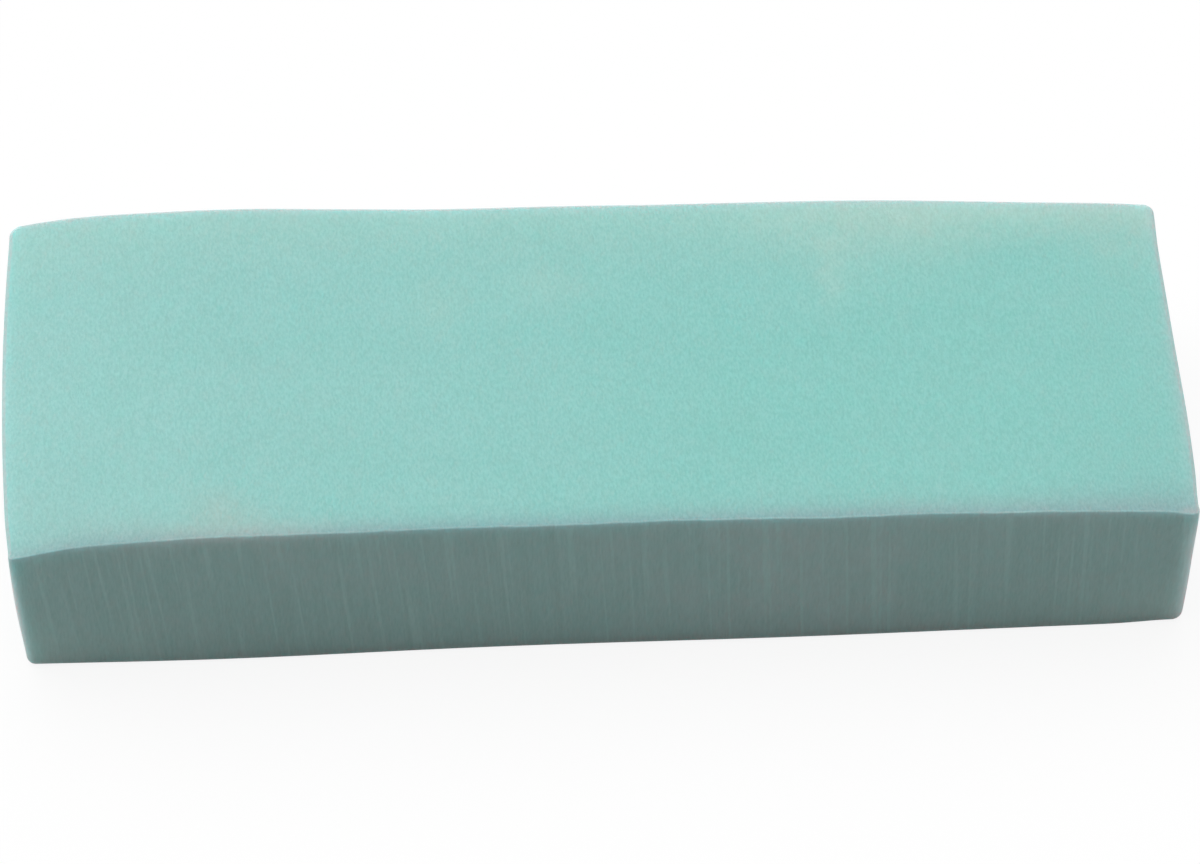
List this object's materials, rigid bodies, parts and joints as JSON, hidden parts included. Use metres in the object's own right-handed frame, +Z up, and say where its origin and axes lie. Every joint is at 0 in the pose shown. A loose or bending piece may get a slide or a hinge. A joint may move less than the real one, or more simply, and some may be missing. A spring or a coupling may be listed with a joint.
{
  "type": "cleaning sponge",
  "caption": "Block-shaped cleaning sponge of fine-pored foam, with a gently sagging top, soft upright corners and a flat underside to rest on.",
  "frame": {"origin": "middle of the underside, below the centre of the block's overall box", "axes": "+X along the block towards its narrower end, +Y across it towards the back, +Z up out of the sagging top face"},
  "size_m": [0.2, 0.071, 0.0342],
  "materials": {
    "foam": "dry fine-pored polyvinyl foam in pale mint green: matt and suede-like on top, with a greyer knife-cut grain on the walls"
  },
  "bodies": {
    "root": {"sponge_block": "foam"}
  },
  "joints": []
}
